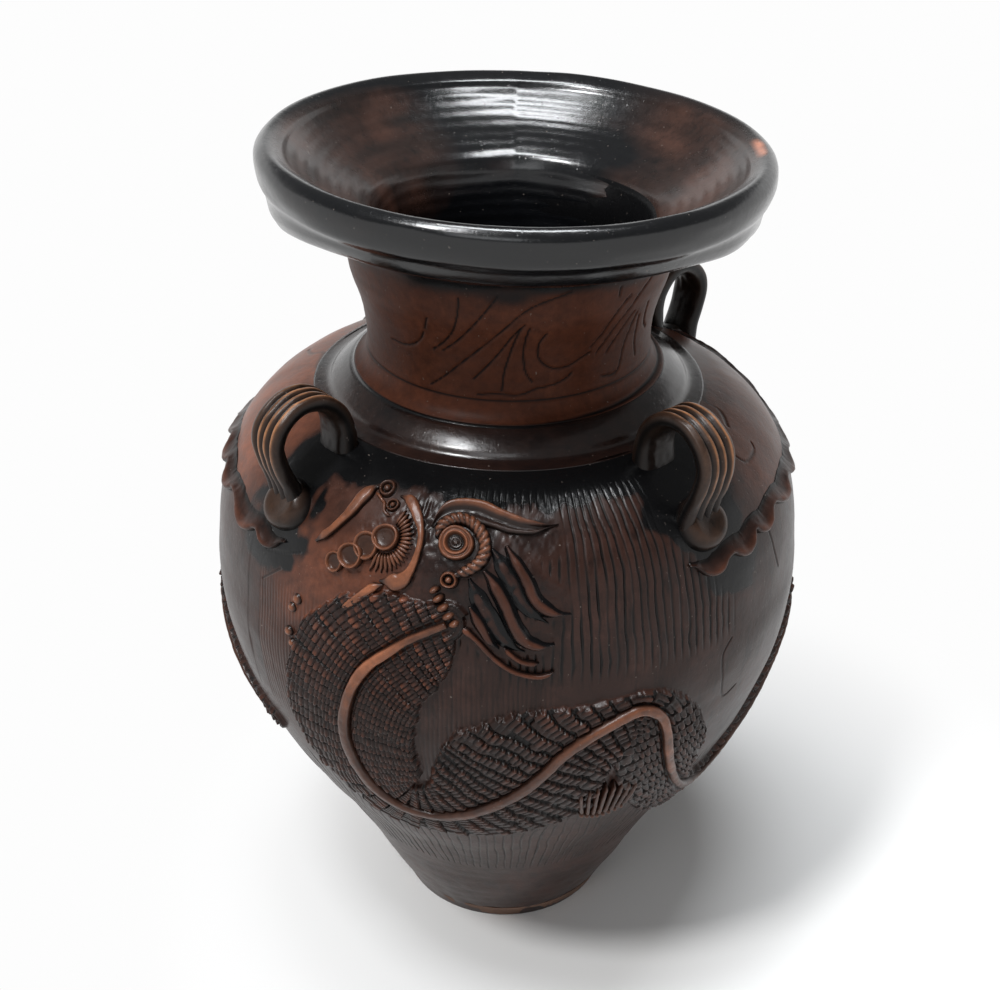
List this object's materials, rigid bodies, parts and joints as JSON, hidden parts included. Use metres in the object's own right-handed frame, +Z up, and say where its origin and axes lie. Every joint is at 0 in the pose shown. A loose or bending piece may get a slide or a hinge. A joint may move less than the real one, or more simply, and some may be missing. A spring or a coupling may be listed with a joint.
{
  "type": "storage jar",
  "caption": "Tall glazed stoneware storage jar with a flared rolled mouth, strap lugs on the shoulder and an applied dragon relief round its body.",
  "frame": {"origin": "centre of the underside of the base", "axes": "+Z up along the jar's axis, the dragon's head faces -Y, +X to the viewer's right"},
  "size_m": [0.4144, 0.4164, 0.5994],
  "materials": {
    "black_glaze": "glossy brown-black glaze",
    "brown_glaze": "semi-gloss reddish brown glaze over combed clay",
    "worn_relief_glaze": "semi-gloss glaze worn to orange brown on the raised edges",
    "bare_stoneware": "unglazed matte stoneware"
  },
  "bodies": {
    "root": {"base_disc": "bare_stoneware", "dragon_back_back_ridge": "worn_relief_glaze", "dragon_back_cheek_strip": "worn_relief_glaze", "dragon_back_claws": "worn_relief_glaze", "dragon_back_horn": "worn_relief_glaze", "dragon_back_lower_jaw": "worn_relief_glaze", "dragon_back_mane": "brown_glaze", "dragon_back_scales_inner": "brown_glaze", "dragon_back_scales_outer": "brown_glaze", "dragon_back_upper_jaw": "worn_relief_glaze", "dragon_back_whiskers": "brown_glaze", "dragon_brow_boss": "worn_relief_glaze", "dragon_brow_rope": "worn_relief_glaze", "dragon_cheek_beads": "worn_relief_glaze", "dragon_eye_ring": "worn_relief_glaze", "dragon_eyeball": "worn_relief_glaze", "dragon_front_back_ridge": "worn_relief_glaze", "dragon_front_cheek_strip": "worn_relief_glaze", "dragon_front_claws": "worn_relief_glaze", "dragon_front_horn": "worn_relief_glaze", "dragon_front_lower_jaw": "worn_relief_glaze", "dragon_front_mane": "brown_glaze", "dragon_front_scales_inner": "brown_glaze", "dragon_front_scales_outer": "brown_glaze", "dragon_front_upper_jaw": "worn_relief_glaze", "dragon_front_whiskers": "brown_glaze", "dragon_knobs": "worn_relief_glaze", "dragon_rosettes": "worn_relief_glaze", "dragon_snout_bumps": "worn_relief_glaze", "dragon_teeth": "worn_relief_glaze", "foot_wall": "brown_glaze", "frill_left": "brown_glaze", "frill_right": "brown_glaze", "lip_roll": "black_glaze", "lower_wall": "brown_glaze", "lug_back_left": "black_glaze", "lug_back_right": "black_glaze", "lug_front_left": "black_glaze", "lug_front_right": "black_glaze", "lug_thumb_pads": "black_glaze", "mouth_flare": "black_glaze", "mouth_ring_lower": "black_glaze", "mouth_ring_upper": "black_glaze", "neck": "brown_glaze", "neck_collar": "black_glaze", "upper_wall": "brown_glaze"}
  },
  "joints": []
}
